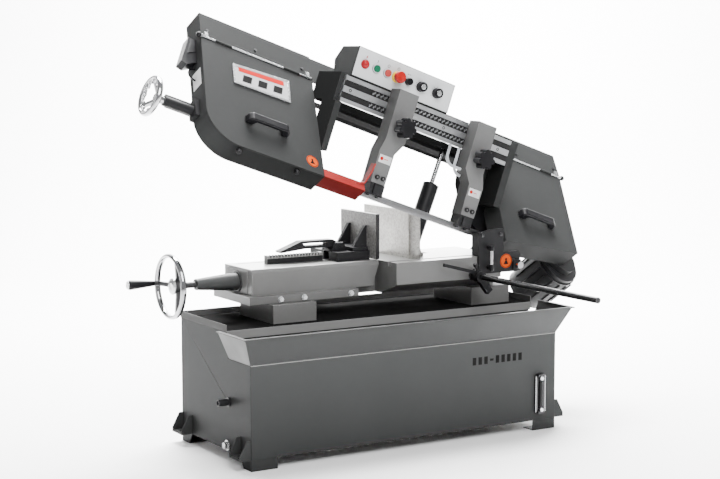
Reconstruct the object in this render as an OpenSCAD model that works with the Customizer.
// Horizontal metal-cutting band saw on a coolant cabinet.
// Origin: centre of the cabinet footprint on the floor.
// +X runs along the bow towards the drive wheel, -Y is the operator's side, +Z is up.

/* [Cabinet] */
// Overall length of the cabinet
cab_len = 1300; // [1280:1:1340]
// Depth of the cabinet front to back
cab_dep = 549; // [540:1:580]
// Height of the cabinet's lower edge above the floor
leg_h = 39; // [30:1:60]
// Height of the front half of the cabinet
cab_h = 367; // [350:1:380]
// Height of the rear half, under the chip tray
tray_z = 460; // [455:1:466]

/* [Bed] */
// Height of the machined bed surface
bed_z = 655; // [650:1:656]
// Thickness of the jaw plates
jaw_t = 15; // [12:1:20]
// Height of the jaws above the bed
jaw_h = 175; // [120:1:185]

/* [Head] */
// How far the head is lifted from flat
head_raise = 19.5; // [15:0.5:22]
// How far the wheel boxes lean back
box_tilt = 40; // [38:1:42]
// Radius of the idler band wheel
wheel_r = 180; // [176:1:182]
// Radius of the driven band wheel
drive_wheel_r = 160; // [150:1:161]
// Width of the blade
blade_w = 25.4; // [19:0.1:27]

/* [Controls] */
// Radius of the vise handwheel
vise_wheel_r = 117; // [95:1:120]
// Radius of the blade-tension handwheel
tension_wheel_r = 74; // [60:1:80]

/* [Hidden] */
$fn = 48;
e = 0.01;
// hinge of the head, world X and Z
hinge_x = 635;
hinge_z = 680;
// centre line of the blade where it cuts, head frame
cut_y = -60;
cut_z = -16;
// centre of both wheels, head frame
wheel_y = cut_y + 180 * sin(box_tilt);
wheel_z = cut_z + 180 * cos(box_tilt);
idler_x = -1192;
drive_x = 90;
// wheel box, measured along the face from the wheel centre
box_bot = -213;
box_rod = 252;
box_top = 366;
box_face = -45;
box_dep = 88;
idler_l = -1434;
idler_r = -951;
drive_l = -105;
drive_r = 285;
// beam and rail, head frame
beam_z0 = 272;
beam_z1 = 378;
rail_f = -29;
beam_f = -11;
beam_b = 150;
// guide arms
arm_f = -91;
arm_b = -29.7;
// movable vise screw
screw_y = 98;
screw_z = 603;
hw_x = -772;
// lift cylinder: lower pin in the bed, upper pin inside the beam
cyl_x = 200;
cyl_y = 120;
cyl_z = 560;
cyl_top_x = -346;
cyl_top_z = 298;
// world position of the cylinder's upper pin
ctx = hinge_x + cyl_top_x * cos(head_raise) + cyl_top_z * sin(head_raise);
ctz = hinge_z - cyl_top_x * sin(head_raise) + cyl_top_z * cos(head_raise);
cyl_tilt = atan2(ctx - cyl_x, ctz - cyl_z);
cyl_len = sqrt(pow(ctx - cyl_x, 2) + pow(ctz - cyl_z, 2));
cyl_body = 388;
// motor shaft behind the drive box
motor_x = 296;
motor_z = -100;
// height of the tension screw in the idler box
tens_z = -60;
// panel row height, head frame
panel_y = -14;
row_z = 435;

grey = [0.42, 0.43, 0.44];
lightgrey = [0.6, 0.61, 0.62];
black = [0.09, 0.09, 0.1];
steel = [0.75, 0.76, 0.77];
red = [0.8, 0.12, 0.1];

// ---------------------------------------------------------------- frames
module in_head() {
    translate([hinge_x, 0, hinge_z]) rotate([0, head_raise, 0]) children();
}
// local: X along the bow, Y depth into the box, Z up the leaning face
module in_box() {
    in_head() translate([0, wheel_y, wheel_z]) rotate([-box_tilt, 0, 0])
        children();
}
module in_cylinder() {
    translate([cyl_x, cyl_y, cyl_z]) rotate([0, cyl_tilt, 0]) children();
}
module box(x0, x1, y0, y1, z0, z1) {
    translate([x0, y0, z0]) cube([x1 - x0, y1 - y0, z1 - z0]);
}
// prism of a polygon drawn in X and Z, spanning y0 to y1
module slab(y0, y1) {
    translate([0, y1, 0]) rotate([90, 0, 0]) linear_extrude(y1 - y0) children();
}
// prism of a polygon drawn in Y and Z, spanning x0 to x1
module bar(x0, x1) {
    translate([x0, 0, 0]) rotate([90, 0, 90]) linear_extrude(x1 - x0) children();
}
module cyl_along_y(x, z, y0, y1, r) {
    translate([x, y1, z]) rotate([90, 0, 0]) cylinder(r = r, h = y1 - y0);
}
module cyl_along_x(y, z, x0, x1, r) {
    translate([x0, y, z]) rotate([0, 90, 0]) cylinder(r = r, h = x1 - x0);
}
module hex_bolt(r, h) {
    cylinder(r = r, h = h, $fn = 6);
}

// ---------------------------------------------------------------- cabinet
module cabinet_solid(o) {
    hx = cab_len / 2 - o;
    hy = cab_dep / 2 - o;
    box(-hx, hx, -hy, hy, leg_h - (o > 0 ? 1 : 0), cab_h - o);
    box(-hx, hx, -105 + o, hy, leg_h - (o > 0 ? 1 : 0), tray_z - o);
}
module cabinet_leg() {
    // corner foot: a folded angle, its end plate with a sloping inner edge
    slab(-cab_dep / 2, -cab_dep / 2 + 4)
        translate([-cab_len / 2, 0]) square([103, leg_h]);
    bar(-cab_len / 2, -cab_len / 2 + 4)
        polygon([[-cab_dep / 2, 0], [-cab_dep / 2 + 60, 0],
            [-cab_dep / 2 + 83, leg_h], [-cab_dep / 2, leg_h]]);
    difference() {
        box(-cab_len / 2, -cab_len / 2 + 103, -cab_dep / 2,
            -cab_dep / 2 + 60, 0, 4);
        // hole for a levelling screw
        translate([-600, -245, -1]) cylinder(r = 6, h = 6);
    }
}
module cabinet() color(grey) {
    difference() {
        cabinet_solid(0);
        cabinet_solid(4);
        // drain outlet on the left end
        cyl_along_x(-110, 214, -cab_len / 2 - 1, -cab_len / 2 + 5, 12.5);
        cyl_along_x(-105, 60, -cab_len / 2 - 1, -cab_len / 2 + 5, 15.5);
    }
}
// U-shaped anchor lug with an anchor hole in its base
module lug() {
    difference() {
        box(650, 692, -272, -190, 40, 48);
        translate([673, -231, 39]) cylinder(r = 8, h = 10);
    }
    for (y = [-272, -196])
        slab(y, y + 6)
            polygon([[650, 48], [692, 48], [692, 56], [664, 108], [650, 108]]);
}
module feet_and_lugs() color(grey) {
    for (sx = [0, 1])
        for (sy = [0, 1])
            mirror([sx, 0, 0]) mirror([0, sy, 0]) {
                lug();
                cabinet_leg();
            }
}
module gutter_solid(o) {
    hull() {
        box(-650 + o, 650 - o, -274 + o, -108, cab_h + 0.2, cab_h + 1);
        box(-692 + o, 692 - o, -318 + o, -108, 463, 464 + (o > 0 ? 2 : 0));
    }
}
module gutter() color(grey) {
    difference() {
        gutter_solid(0);
        gutter_solid(3);
        box(-640, 640, -300, -100, cab_h - 1, cab_h + 3);
        // the rear half of the cabinet and the tray's lip stand in here
        box(-651, 651, -112, -100, cab_h, 470);
        box(-700, 700, -112, -100, cab_h, 470);
    }
    // folded rim
    difference() {
        box(-700, 700, -326, -112, 464, 468);
        box(-684, 684, -310, -100, 463, 469);
    }
}
module chip_tray() color(grey) {
    box(-655, 655, -107, 258, tray_z + 0.2, tray_z + 3);
    box(-655, 655, -108, -105.2, 433, tray_z + 3);
    box(-658, -655, -108, 261, tray_z + 0.2, 485);
    box(655, 658, -108, 261, tray_z + 0.2, 485);
    box(-655, 655, 258, 261, tray_z + 0.2, 485);
}
module riser_blocks() color(grey) {
    for (x = [-450, 406])
        difference() {
            box(x, x + 178, -65, 193, tray_z + 3, 531);
            box(x + 8, x + 170, -57, 185, tray_z + 2, 523);
        }
}

// ---------------------------------------------------------------- bed
module vise_bed() color(grey) {
    difference() {
        union() {
            // left table: front face, sloping right end, bevelled top edge
            slab(-10, 205)
                polygon([[-505, 561], [-2, 561], [30, bed_z], [-505, bed_z]]);
            box(-525, -75, -33, 258, 531, 561);
            // right table over the pivot
            box(-75, 515, 40, 205, 531, bed_z);
            box(40, 515, -10, 41, 531, bed_z);
            box(515, 600, 60, 205, 531, 640);
            // front ledge that carries the stop rod
            bar(40, 512)
                polygon([[-10, 535], [-111, 573], [-111, bed_z], [-10, bed_z]]);
        }
        // bevel along the front of the left table
        bar(-506, 40)
            polygon([[-11, 641], [1, 656.5], [-11, 656.5]]);
        // hollow underside
        box(-485, -100, 12, 185, 530, 632);
        box(-100, 490, 62, 185, 530, 600);
        // well for the lift cylinder
        box(164, 306, 84, 156, 590, 648);
        box(186, 306, 84, 156, 640, bed_z + 1);
        // screw opening in the left end
        cyl_along_x(screw_y, screw_z, -510, -480, 14);
        // slot the blade drops into
        box(39, 513, cut_y - 7, cut_y + 7, 636, bed_z + 1);
        // slot that the carriage key runs in
        box(-470, 130, 168, 178, 640, bed_z + 1);
    }
    // pin of the lift cylinder, across the hollow
    cyl_along_y(cyl_x, cyl_z, 61, 186, 8);
}
module bed_bolts() color(steel) {
    for (x = [-402, -305, -110])
        translate([x, -33, 546]) rotate([90, 0, 0]) {
            cylinder(r = 11, h = 2);
            translate([0, 0, 2]) hex_bolt(9, 8);
        }
    for (x = [-500, -95])
        translate([x, 240, 561]) {
            cylinder(r = 11, h = 2);
            translate([0, 0, 2]) hex_bolt(9, 8);
        }
}
module fixed_jaw() color(steel) {
    difference() {
        translate([0, 0, bed_z])
            linear_extrude(jaw_h + 5)
                union() {
                    translate([150, -18]) square([34, 318]);
                    translate([180, -18]) square([4, 20]);
                    intersection() {
                        translate([180, -18]) circle(r = 30);
                        translate([150, -48]) square([34, 31]);
                    }
                }
        // relief line just above the table
        box(149, 152, -17, 301, bed_z + 7, bed_z + 10);
    }
    // webs behind the plate
    for (y = [10, 235])
        slab(y, y + 14)
            polygon([[184, bed_z], [232, bed_z], [190, bed_z + 140], [184, bed_z + 140]]);
    box(184, 236, 10, 60, bed_z, bed_z + 14);
    box(184, 236, 200, 249, bed_z, bed_z + 14);
}
module vise_rack() color(black) {
    difference() {
        box(-385, -152, 98, 124, bed_z, bed_z + 31);
        for (i = [0 : 16])
            translate([-370 + i * 12.5, 97, bed_z + 20])
                rotate([-90, 0, 0])
                    linear_extrude(28) polygon([[0, 0], [-5, -12], [5, -12]]);
    }
}
module screw_housing() color(black) {
    difference() {
        union() {
            translate([-675, screw_y, screw_z]) rotate([0, 90, 0])
                cylinder(r1 = 20, r2 = 31, h = 132);
            cyl_along_x(screw_y, screw_z, -543, -511, 31);
            cyl_along_x(screw_y, screw_z, -513, -505, 38);
        }
        cyl_along_x(screw_y, screw_z, -694, -504, 11.55);
    }
}
module sight_gauge() color(steel) {
    // level glass in a guard channel on the front panel
    difference() {
        box(552, 596, -285, -274.5, 70, 212);
        box(562, 586, -290, -280, 84, 198);
    }
    for (z = [66, 206])
        difference() {
            box(560, 588, -292, -274.5, z, z + 10);
            box(566, 582, -289, -279, z + 3, z + 7);
        }
    cyl_along_y(574, 78, -295, -285, 7);
    cyl_along_y(574, 204, -295, -285, 7);
    translate([574, -283, 85]) cylinder(r = 5, h = 112);
}
module drain_fittings() color(black) {
    // overflow spout and drain plug on the left end
    difference() {
        union() {
            cyl_along_x(-110, 214, -656, -650, 17);
            cyl_along_x(-110, 214, -694, -656, 12);
        }
        cyl_along_x(-110, 214, -701, -652, 9);
    }
    cyl_along_x(-105, 60, -658, -650, 19);
    translate([-658, -105, 60]) rotate([0, -90, 0]) hex_bolt(13, 12);
}
module pivot_bracket() color(grey) {
    // two cheeks with the hinge pin of the head
    for (y = [62, 134])
        slab(y, y + 18)
            difference() {
                union() {
                    polygon([[540, 640], [600, 640], [600, 560], [640, 560],
                        [668, 672], [hinge_x + 10, 710], [hinge_x - 16, 708]]);
                    translate([hinge_x, hinge_z]) circle(r = 34);
                }
                translate([hinge_x, hinge_z]) circle(r = 15);
            }
    cyl_along_y(hinge_x, hinge_z, 54, 160, 14.95);
    for (y = [50, 160])
        cyl_along_y(hinge_x, hinge_z, y, y + 6, 20);
    box(600, 640, 80, 134, 560, 600);
}

// ---------------------------------------------------------------- stop and feed
module stop_rod() color(steel) {
    cyl_along_y(380, 586, -850, -112, 11);
    // boss that holds it on the ledge
    cyl_along_y(380, 586, -126, -111, 18.8);
    translate([380, -119, 586]) cylinder(r = 5, h = 26);
}
module stop_arm() color(black) {
    difference() {
        union() {
            cyl_along_y(380, 586, -170, -134, 21);
            // flat arm with a bent finger
            translate([380, -148, 586]) rotate([0, 14.5, 0])
                box(-165, 0, -6, 6, 6, 18);
            translate([380, -148, 586]) rotate([0, 52, 0])
                box(12, 78, -11, 11, -13, 13);
        }
        cyl_along_y(380, 586, -180, -120, 11.06);
    }
    // clamping stud
    translate([380, -152, 586]) rotate([0, -20, 0]) translate([0, 0, 19]) {
        cylinder(r = 5, h = 22);
        translate([0, 0, 22]) cylinder(r = 9, h = 12);
    }
}
module feed_cover() color(black) {
    slab(-122, -114)
        polygon([[399, 590], [592, 590], [592, 656], [578, 668], [514, 668],
            [512, 757], [450, 757], [399, 745]]);
    box(402, 508, -114, -111, 592, 745);
    box(402, 508, -111, -72, bed_z + 0.2, 745);
    // pull handle
    for (z = [608, 684])
        box(436, 450, -150, -122, z, z + 10);
    translate([443, -143, 618]) cylinder(r = 6, h = 66);
    // valve body for the feed rate
    difference() {
        box(556, 592, -130, -122, 598, 634);
        cyl_along_y(574, 616, -131, -122, 5.06);
    }
}
module feed_knob() color(steel) {
    cyl_along_y(574, 616, -131, -123, 5);
    cyl_along_y(574, 616, -152, -131, 13);
}

// ---------------------------------------------------------------- vise
module movable_jaw() color(steel) {
    difference() {
        box(10, 10 + jaw_t, -15, 241, bed_z + 5.3, bed_z + jaw_h - 2);
        // the plate straddles the rack
        box(9, 11 + jaw_t, 94, 128, bed_z, bed_z + 33);
    }
    for (y = [50, 166])
        slab(y, y + 16)
            polygon([[10, bed_z + 34], [-58, bed_z + 34], [2, bed_z + 126],
                [10, bed_z + 126]]);
    box(-58, 10, 40, 236, bed_z + 34, bed_z + 48);
}
module jaw_carriage() color(black) {
    // saddle that straddles the rack
    box(-130, 9.7, 130, 232, bed_z + 0.4, bed_z + 33.7);
    box(-130, 9.7, 30, 92, bed_z + 0.4, bed_z + 33.7);
    box(-130, -60, 88, 134, bed_z + 33, bed_z + 42);
    box(-60, 9.7, 88, 134, bed_z + 32, bed_z + 33.7);
    box(-120, 4, 170, 176, bed_z - 12, bed_z + 1);
    for (y = [74, 137])
        slab(y, y + 12)
            difference() {
                polygon([[-130, bed_z + 33], [-62, bed_z + 33],
                    [-76, bed_z + 66], [-110, bed_z + 66]]);
                translate([-92, bed_z + 52]) circle(r = 5.06);
            }
}
module quick_lever() color(black) {
    difference() {
        union() {
            slab(92, 131)
                polygon([[-335, bed_z + 45], [-318, bed_z + 50],
                    [-245, bed_z + 77], [-112, bed_z + 77],
                    [-84, bed_z + 62], [-84, bed_z + 48.5],
                    [-150, bed_z + 48.5], [-230, bed_z + 48.5],
                    [-330, bed_z + 38]]);
            cyl_along_y(-92, bed_z + 52, 73, 150, 5);
        }
        // hand grip opening
        slab(91, 132)
            polygon([[-232, bed_z + 58], [-238, bed_z + 68],
                [-135, bed_z + 68], [-135, bed_z + 58]]);
    }
}
// handwheel drawn about the local Z axis, rim at the origin, hub behind
module handwheel(r, back, hub_r, spoke_w, bore) {
    rotate_extrude($fn = 96)
        translate([r - 8, 0]) scale([8 / 11, 1]) circle(r = 11, $fn = 32);
    difference() {
        translate([0, 0, back - 14]) cylinder(r = hub_r, h = 30);
        translate([0, 0, back - 15]) cylinder(r = bore, h = 32);
    }
    for (a = [90, 210, 330])
        rotate([0, 0, a])
            rotate([90, 0, 0])
                linear_extrude(spoke_w, center = true)
                    polygon([[hub_r - 4, back - 8], [hub_r - 4, back + 8],
                        [r - 12, 6], [r - 12, -6]]);
}
module vise_handwheel() color(steel) {
    translate([hw_x, screw_y, screw_z]) rotate([0, 90, 0])
        handwheel(vise_wheel_r, 26, 27, 15, 10.9);
    cyl_along_x(screw_y, screw_z, hw_x + 8, -500, 11);
    // boss for the crank grip
    translate([hw_x, screw_y + vise_wheel_r - 12, screw_z])
        rotate([0, -90, 0]) cylinder(r = 9, h = 15);
    translate([hw_x - 15, screw_y + vise_wheel_r - 12, screw_z])
        rotate([0, -90, 0]) cylinder(r = 4, h = 104);
}
module crank_grip() color(black) {
    translate([hw_x - 15.4, screw_y + vise_wheel_r - 12, screw_z])
        rotate([0, -90, 0])
            difference() {
                rotate_extrude()
                    polygon([[4.06, 0], [9, 0], [10, 8], [17, 84], [17.5, 94],
                        [14, 102], [4.06, 102]]);
            }
}

// ---------------------------------------------------------------- head frame
module beam() color(grey) in_head() {
    difference() {
        union() {
            box(idler_r, drive_l, beam_f, beam_b, beam_z0, beam_z1);
            // hood over the returning blade
            box(-806, drive_l, beam_b, 214, beam_z1 - 4, beam_z1);
            box(-806, drive_l, 210, 214, 236, beam_z1 - 4);
            // posts that carry the wheel boxes
            box(idler_r, -925, -30, 70, 85, beam_z0);
            box(-150, -124, -30, 70, 110, beam_z0);
            box(-124, drive_l, -11, 70, 130, beam_z0);
            // hinge lug under the beam and behind the drive box
            slab(82, 132)
                polygon([[-262, beam_z0], [-240, 160], [-165, 40], [-60, -10],
                    [-24, -24], [24, -24], [34, 0], [34, 60], [-30, 150],
                    [drive_l - 1, 210], [drive_l - 1, beam_z0]]);
            cyl_along_y(0, 0, 82, 132, 32);
        }
        // hollow section
        box(idler_r + 6, drive_l + 1, beam_f + 6, beam_b - 6,
            beam_z0 + 6, beam_z1 - 6);
        // opening for the lift rod
        box(cyl_top_x - 38, cyl_top_x + 30, cyl_y - 14, cyl_y + 14,
            beam_z0 - 1, beam_z0 + 7);
        // hinge bore
        cyl_along_y(0, 0, 81, 133, 15.01);
        // stay clear of the drive box's leaning back wall
        translate([0, wheel_y, wheel_z]) rotate([-box_tilt, 0, 0])
            box(drive_l, drive_r + 2, box_face - 60, box_face + box_dep,
                box_bot - 60, box_top + 40);
    }
    // pin of the lift rod between an inner web and the back wall
    difference() {
        box(cyl_top_x - 30, cyl_top_x + 30, 96, 102,
            beam_z0 + 5, beam_z1 - 5);
    }
    cyl_along_y(cyl_top_x, cyl_top_z, 98, beam_b - 3, 5);
}
module rail() color(steel) in_head() {
    difference() {
        box(-933, -151, rail_f, beam_f, 273, 371);
        box(-934, -150, rail_f - 1, rail_f + 8, 288, 311);
        box(-934, -150, rail_f - 1, rail_f + 8, 333, 356);
    }
}
// outline of the idler box, drawn in X and along the face
module idler_outline(o) {
    r = 130;
    offset(delta = -o)
        union() {
            difference() {
                translate([idler_l, box_bot])
                    square([idler_r - idler_l, box_top - box_bot]);
                translate([idler_l - 1, box_bot - 1]) square([r + 1, r + 1]);
            }
            translate([idler_l + r, box_bot + r]) circle(r = r, $fn = 96);
        }
}
module drive_outline(o) {
    offset(delta = -o)
        polygon([[drive_l, -205], [drive_r, -135], [drive_r, box_rod],
            [drive_r - 8, box_top], [drive_l, box_top]]);
}
module idler_housing() color(grey) in_box() {
    difference() {
        slab(box_face + 3.5, box_face + box_dep) idler_outline(0);
        slab(box_face + 3, box_face + box_dep - 5) idler_outline(4);
        // blade and guard openings
        box(idler_r - 5, idler_r + 1, -42, 30, box_bot + 4.5, -150);
        box(idler_r - 5, idler_r + 1, -30, 30, 150, 205);
        // tension screw opening
        cyl_along_x(24, tens_z, idler_l - 1, idler_l + 5, 12);
    }
    // fixed strip above the door
    slab(box_face, box_face + 3.5)
        intersection() {
            idler_outline(0);
            translate([idler_l - 1, box_rod + 5])
                square([idler_r - idler_l + 2, 200]);
        }
    // face plate that ties the box to the beam
    difference() {
        box(idler_r, -814, box_face, box_face + 5, 238, box_top - 6);
        box(idler_r - 1, -813, box_face - 1, box_face + 6, 200, 240);
    }
    translate([-867, box_face, 277]) rotate([90, 0, 0]) hex_bolt(11, 8);
}
module drive_housing() color(grey) in_box() {
    difference() {
        slab(box_face + 3.5, box_face + box_dep) drive_outline(0);
        slab(box_face + 3, box_face + box_dep - 5) drive_outline(4);
        box(drive_l - 1, drive_l + 5, -30, 30, -200, -150);
        box(drive_l - 1, drive_l + 5, -30, 30, 150, 205);
        cyl_along_y(drive_x, 0, 30, 60, 22);
    }
    slab(box_face, box_face + 3.5)
        intersection() {
            drive_outline(0);
            translate([drive_l - 1, box_rod + 5])
                square([drive_r - drive_l + 2, 200]);
        }
}
module hinge_rods() color(steel) in_box() {
    cyl_along_x(box_face - 1.5, box_rod, idler_l - 2, idler_r - 6, 3.5);
    cyl_along_x(box_face - 1.5, box_rod, drive_l + 6, drive_r + 2, 3.5);
    translate([idler_l - 9, box_face - 1.5, box_rod]) sphere(r = 10);
    translate([drive_r + 9, box_face - 1.5, box_rod]) sphere(r = 10);
    // small brackets that hold the rods to the fixed strips
    for (x = [idler_l + 14, idler_r - 30, drive_l + 14, drive_r - 30])
        difference() {
            box(x, x + 14, box_face - 6, box_face, box_rod + 3, box_rod + 22);
            cyl_along_x(box_face - 1.5, box_rod, x - 1, x + 15, 3.5);
        }
}
module latch_screws() color(steel) in_box() {
    for (x = [-1304, -1063])
        translate([x, box_face + 16, box_bot]) rotate([180, 0, 0]) {
            cylinder(r = 4, h = 8);
            translate([0, 0, 8]) cylinder(r = 9, h = 10);
        }
    // screws of the fixed strips
    for (x = [-1406, -1200, -994, 57, 258])
        translate([x, box_face, box_rod + 34]) rotate([90, 0, 0])
            cylinder(r = 6, h = 4);
}

// ---------------------------------------------------------------- controls
module control_box() color(grey) in_head() {
    difference() {
        bar(-910, -463)
            polygon([[-10, beam_z1], [-10, 491], [105, 491], [140, 440],
                [115, beam_z1]]);
        // space for the switches, open behind the front plate
        box(-900, -473, -11, 30, 392, 480);
        bar(-907, -466)
            polygon([[-7, beam_z1 + 3], [-7, 488], [104, 488],
                [137, 440], [113, beam_z1 + 3]]);
    }
}
module control_panel() color([0.92, 0.92, 0.93]) in_head() {
    difference() {
        box(-908, -465, panel_y, -10, 381, 490);
        for (x = [-817, -767, -723])
            cyl_along_y(x, row_z, panel_y - 1, -9, 8.5);
        for (x = [-672, -612, -538])
            cyl_along_y(x, row_z, panel_y - 1, -9, 4.06);
    }
    // collars of the switches
    for (x = [-817, -767])
        difference() {
            cyl_along_y(x, row_z, panel_y - 6, panel_y, 17);
            cyl_along_y(x, row_z, panel_y - 7, panel_y + 1, 13.4);
        }
    difference() {
        cyl_along_y(-723, row_z, panel_y - 10, panel_y, 17);
        cyl_along_y(-723, row_z, panel_y - 11, panel_y + 1, 8.5);
    }
}
module pilot_lamp() color(red) in_head() {
    cyl_along_y(-867, row_z, panel_y - 4, panel_y, 17);
    translate([-867, panel_y - 4, row_z]) rotate([90, 0, 0])
        rotate_extrude()
            intersection() {
                scale([1, 0.75]) circle(r = 15.5);
                square([16, 14]);
            }
}
module push_button(x) {
    cyl_along_y(x, row_z, panel_y - 12, panel_y - 5.5, 13);
    cyl_along_y(x, row_z, panel_y - 6, 12, 8);
}
module start_button() color([0.1, 0.5, 0.35]) in_head() push_button(-817);
module stop_button() color(red) in_head() push_button(-767);
module estop_button() color(red) in_head() {
    cyl_along_y(-723, row_z, panel_y - 32, panel_y - 18, 21.5);
    cyl_along_y(-723, row_z, panel_y - 18, 12, 8);
}
module turn_knob(x, r, h) {
    cyl_along_y(x, row_z, panel_y - h, panel_y - 1, r);
    cyl_along_y(x, row_z, panel_y - 2, 10, 4);
    box(x - 2, x + 2, panel_y - h - 2, panel_y - h, row_z, row_z + r - 1);
}
module selector() color(black) in_head() turn_knob(-672, 13, 20);
module speed_knob() color(black) in_head() turn_knob(-612, 18, 24);
module coolant_knob() color(black) in_head() turn_knob(-538, 18, 24);

// ---------------------------------------------------------------- drive
module gearbox() color(black) in_box() {
    difference() {
        union() {
            cyl_along_y(drive_x, 0, 43.2, 140, 50);
            // belt guard between gearbox and motor
            slab(43.2, 70)
                union() {
                    translate([motor_x, motor_z]) circle(r = 60);
                    polygon([[60, -40], [118, 42], [330, -50],
                            [262, -150]]);
                }
        }
        cyl_along_y(drive_x, 0, 42, 100, 12.1);
    }
    for (a = [0 : 60 : 300])
        translate([drive_x + 40 * cos(a), 140, 40 * sin(a)])
            rotate([-90, 0, 0]) hex_bolt(7, 5);
}
module motor() color(black) in_box() {
    cyl_along_y(motor_x, motor_z, 70.2, 88, 90);
    cyl_along_y(motor_x, motor_z, 88, 238, 96);
    for (i = [0 : 15])
        translate([motor_x, 0, motor_z]) rotate([0, i * 22.5, 0])
            box(90, 102, 98, 224, -2, 2);
    box(motor_x - 42, motor_x + 42, 118, 198, -20, 24);
    cyl_along_y(motor_x, motor_z, 238, 278, 90);
}
module wheel(r) {
    // rim, web with round windows, hub and axle bore
    difference() {
        union() {
            difference() {
                cylinder(r = r, h = 28, center = true, $fn = 120);
                cylinder(r = r - 15, h = 30, center = true, $fn = 120);
            }
            cylinder(r = r - 14, h = 10, center = true, $fn = 120);
            cylinder(r = 34, h = 40, center = true);
        }
        for (a = [0 : 72 : 359])
            rotate([0, 0, a]) translate([r * 0.56, 0, 0])
                cylinder(r = r * 0.2, h = 12, center = true);
        cylinder(r = 15.05, h = 42, center = true);
    }
}
module idler_wheel() color(steel) in_box()
    translate([idler_x, 0, 0]) rotate([90, 0, 0]) wheel(wheel_r);
module drive_wheel() color(steel) in_box()
    translate([drive_x, 0, 0]) rotate([90, 0, 0]) {
        wheel(drive_wheel_r);
        translate([0, 0, -60]) cylinder(r = 12, h = 82);
        translate([0, 0, 20]) cylinder(r = 22, h = 5);
        cylinder(r = 15.1, h = 40, center = true);
    }
module blade() color(steel) {
    lo = wheel_r + 0.3;
    ld = drive_wheel_r + 0.3;
    th = 1;
    rise = atan((lo - ld) / (drive_x + 250));
    fall = atan((lo - ld) / (drive_x - idler_x));
    // wrap round each wheel
    in_box() translate([idler_x, 0, 0]) rotate([90, 0, 0])
        rotate([0, 0, 90]) rotate_extrude(angle = 180, $fn = 120)
            translate([lo, -blade_w / 2]) square([th, blade_w]);
    in_box() translate([drive_x, 0, 0]) rotate([90, 0, 0])
        rotate([0, 0, -90]) rotate_extrude(angle = 180, $fn = 120)
            translate([ld, -blade_w / 2]) square([th, blade_w]);
    // straight return behind the beam
    in_box() translate([idler_x, 0, lo]) rotate([0, fall, 0])
        box(0.4, (drive_x - idler_x) / cos(fall) - 0.4, -blade_w / 2,
            blade_w / 2, 0, th);
    // cutting strand, upright between the guides, twisting towards the wheels
    by = wheel_y - (lo + th / 2) * sin(box_tilt);
    bz = wheel_z - (lo + th / 2) * cos(box_tilt);
    in_head() translate([0, by, bz]) {
        box(-885, -250, -th / 2, th / 2, -blade_w / 2, blade_w / 2);
        translate([idler_x + 0.2, 0, 0]) rotate([90 - box_tilt, 0, 0])
            rotate([0, 90, 0])
                linear_extrude(-885.4 - idler_x, twist = 90 - box_tilt,
                    slices = 10, $fn = 8)
                    square([blade_w, th], center = true);
    }
    in_box() translate([-249.8, 0, -lo - th / 2]) rotate([0, -rise, 0])
        rotate([box_tilt, 0, 0]) rotate([0, 90, 0])
            linear_extrude((drive_x + 249.4) / cos(rise),
                twist = box_tilt - 90, slices = 12, $fn = 8)
                square([blade_w, th], center = true);
}
module tension_housing() color(black) in_box() {
    difference() {
        union() {
            box(-1550, idler_l - 0.2, 26, 42, -72, -22);
            cyl_along_x(24, tens_z, -1562, idler_l - 0.2, 18);
            box(-1450, idler_l - 0.2, -2, 42, -94, -20);
        }
        cyl_along_x(24, tens_z, -1573, idler_l, 9.06);
    }
    // idler axle and its block on the back wall
    box(idler_x - 40, idler_x + 40, 26, box_face + box_dep - 5.2, -60, 60);
    cyl_along_y(idler_x, 0, -22, 27, 15);
    cyl_along_y(idler_x, 0, -30, -22, 20);
}
module tension_wheel() color(steel) in_box() {
    translate([-1613, 24, tens_z]) rotate([0, 90, 0])
        handwheel(tension_wheel_r, 30, 15, 12, 8.9);
    cyl_along_x(24, tens_z, -1597, idler_l + 50, 9);
}
module limit_switch() color(black) in_box() {
    slab(-10, 30)
        polygon([[idler_l, 258], [-1462, 262], [-1500, 130], [-1478, 122],
            [idler_l, 150]]);
    // flexible lead back into the box
    translate([idler_l, 10, 104]) rotate([90, 0, 0])
        rotate([0, 0, 90]) rotate_extrude(angle = 180)
            translate([26, 0]) circle(r = 3.5, $fn = 20);
}

// ---------------------------------------------------------------- doors
// knuckle that turns on the hinge rod, with its tab
module knuckle(x, len) {
    cyl_along_x(box_face - 1.5, box_rod, x, x + len, 5);
    box(x, x + len, box_face, box_face + 3, box_rod - 6, box_rod - 3);
}
module idler_door() color(grey) in_box() {
    difference() {
        union() {
            slab(box_face, box_face + 3)
                intersection() {
                    idler_outline(0);
                    translate([idler_l - 1, box_bot])
                        square([idler_r - idler_l + 0.4, box_rod - 5 - box_bot]);
                }
            for (x = [idler_l + 60, idler_r - 130])
                knuckle(x, 70);
        }
        cyl_along_x(box_face - 1.5, box_rod, idler_l, idler_r, 3.56);
        for (x = [idler_l + 14, idler_r - 30])
            box(x - 1, x + 15, box_face - 7, box_face + 4,
                box_rod - 8, box_rod);
    }
}
module drive_door() color(grey) in_box() {
    difference() {
        union() {
            slab(box_face, box_face + 3)
                intersection() {
                    drive_outline(0);
                    translate([drive_l + 0.6, -230])
                        square([drive_r - drive_l + 2, box_rod - 5 + 230]);
                }
            for (x = [drive_l + 50, drive_r - 110])
                knuckle(x, 60);
        }
        cyl_along_x(box_face - 1.5, box_rod, drive_l, drive_r, 3.56);
    }
}
module pull(x, s, tilt) {
    translate([x, box_face, s]) rotate([0, tilt, 0]) {
        for (sx = [-1, 1])
            slab(-34, 0)
                translate([sx * 76, 0]) square([26, 34], center = true);
        slab(-34, -22) square([178, 34], center = true);
    }
}
module idler_handle() color(black) in_box() pull(-1188, -80, 0);
module drive_handle() color(black) in_box() pull(80, -45, 0);
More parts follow.
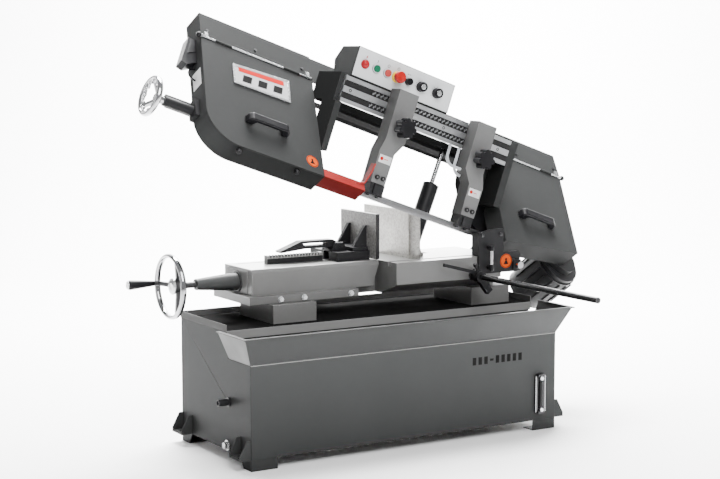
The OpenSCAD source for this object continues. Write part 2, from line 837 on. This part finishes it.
module badge_plate() color([0.85, 0.85, 0.86]) in_box() {
    slab(box_face - 4, box_face)
        offset(r = 6) offset(delta = -6)
            polygon([[-1309, 78], [-1068, 84], [-1064, 192], [-1309, 170]]);
}

// ---------------------------------------------------------------- guide arms
module arm(s, top_x, low_x) {
    // s is +1 when the lower end leans to the right
    difference() {
        slab(arm_f, arm_b)
            polygon([[top_x - 43, 386], [top_x + 43, 386],
                [top_x + 43, 200], [low_x + 33, 150], [low_x + 31, 31],
                [low_x - 32, 31], [low_x - 34, 150], [top_x - 43, 200]]);
        cyl_along_y(top_x, 250, arm_f - 1, arm_b + 20, 8.06);
    }
    // socket screws of the guide block
    for (dx = [-13, 13])
        cyl_along_y(low_x + dx, 53, arm_f - 6, arm_f, 8);
}
module left_arm() color(lightgrey) in_head() arm(-1, -695, -716);
module right_arm() color(lightgrey) in_head() arm(1, -322, -295);
module star_knob(x) {
    slab(-150, -112)
        union() {
            translate([x, 250]) circle(r = 29);
            for (a = [0 : 51.4286 : 350])
                translate([x + 28 * cos(a), 250 + 28 * sin(a)])
                    circle(r = 10);
        }
    cyl_along_y(x, 250, -112, arm_f - 1, 16);
    cyl_along_y(x, 250, arm_f - 1.5, arm_b - 4, 8);
}
module left_knob() color(black) in_head() star_knob(-695);
module right_knob() color(black) in_head() star_knob(-322);
module guide_block(x) {
    difference() {
        union() {
            box(x - 31, x + 31, -88, -32, -14, 30.8);
            box(x - 16, x + 16, -94, -88, -10, 26);
        }
        box(x - 40, x + 40, cut_y - 2.6, cut_y + 2.2, -15, 0);
    }
    // pressure rollers either side of the blade
    for (dx = [-20, 20])
        for (dy = [-8.6, 8.2])
            translate([x + dx, cut_y + dy, -18]) cylinder(r = 6, h = 5);
}
module left_guide() color(black) in_head() guide_block(-712);
module right_guide() color(black) in_head() guide_block(-295);
module blade_guard() color(red) in_box() {
    // angle strip that slides into the idler box with the left arm
    y0 = box_face + 4.2;
    z0 = box_bot + 4.8;
    box(-1150, -770, y0, y0 + 2, z0, -172);
    box(-1150, -770, y0, y0 + 62, z0, z0 + 2);
}
module guard() {
    blade_guard();
    guard_leg();
}
module guard_leg() color(red) in_head() {
    slab(-97, -70)
        polygon([[-806, 4], [-772, 14], [-756, 60], [-749.4, 96],
            [-755, 96], [-762, 62], [-776, 20], [-806, 12]]);
}
// hose that drops from under the beam and turns into the arm's side
module hose(x, y, z, r, x_end) {
    translate([x, y, z + r]) cylinder(r = 5.5, h = 270 - z - r);
    translate([x + r, y, z + r]) rotate([90, 0, 0])
        rotate([0, 0, 180]) rotate_extrude(angle = 90)
            translate([r, 0]) circle(r = 5.5, $fn = 24);
    cyl_along_x(y, z, x + r, x_end, 5.5);
}
module arm_hoses() color([0.75, 0.76, 0.78]) in_head() {
    hose(-440, -60, 194, 36, -365.3);
    hose(-386, -44, 172, 34, -349.3);
}

// ---------------------------------------------------------------- lift cylinder
module lift_cylinder() color(black) in_cylinder() {
    difference() {
        union() {
            translate([0, 0, 24]) cylinder(r = 31, h = cyl_body - 28);
            translate([0, 0, cyl_body - 4]) cylinder(r = 22, h = 4);
            slab(-18, 18)
                union() {
                    circle(r = 18);
                    translate([-18, 0]) square([36, 25]);
                }
        }
        cyl_along_y(0, 0, -30, 30, 8.06);
        translate([0, 0, 40]) cylinder(r = 24, h = cyl_body - 60);
        translate([0, 0, 40]) cylinder(r = 9.06, h = cyl_body);
    }
}
module lift_rod() color(steel) in_cylinder() {
    difference() {
        union() {
            translate([0, 0, 190]) cylinder(r = 9, h = cyl_len - 208);
            slab(-7, 7) translate([0, cyl_len]) circle(r = 22);
        }
        cyl_along_y(0, cyl_len, -10, 10, 16.5);
    }
    translate([0, 0, 190]) cylinder(r = 23.7, h = 12);
}

cabinet();
feet_and_lugs();
gutter();
chip_tray();
riser_blocks();
vise_bed();
bed_bolts();
fixed_jaw();
vise_rack();
screw_housing();
sight_gauge();
drain_fittings();
pivot_bracket();
stop_rod();
stop_arm();
feed_cover();
feed_knob();
movable_jaw();
jaw_carriage();
quick_lever();
vise_handwheel();
crank_grip();
beam();
rail();
idler_housing();
drive_housing();
hinge_rods();
latch_screws();
control_box();
control_panel();
pilot_lamp();
start_button();
stop_button();
estop_button();
selector();
speed_knob();
coolant_knob();
gearbox();
motor();
blade();
tension_housing();
tension_wheel();
limit_switch();
idler_door();
idler_handle();
badge_plate();
drive_door();
drive_handle();
idler_wheel();
drive_wheel();
left_arm();
left_knob();
left_guide();
guard();  // blade_guard
right_arm();
right_knob();
right_guide();
arm_hoses();
lift_cylinder();
lift_rod();
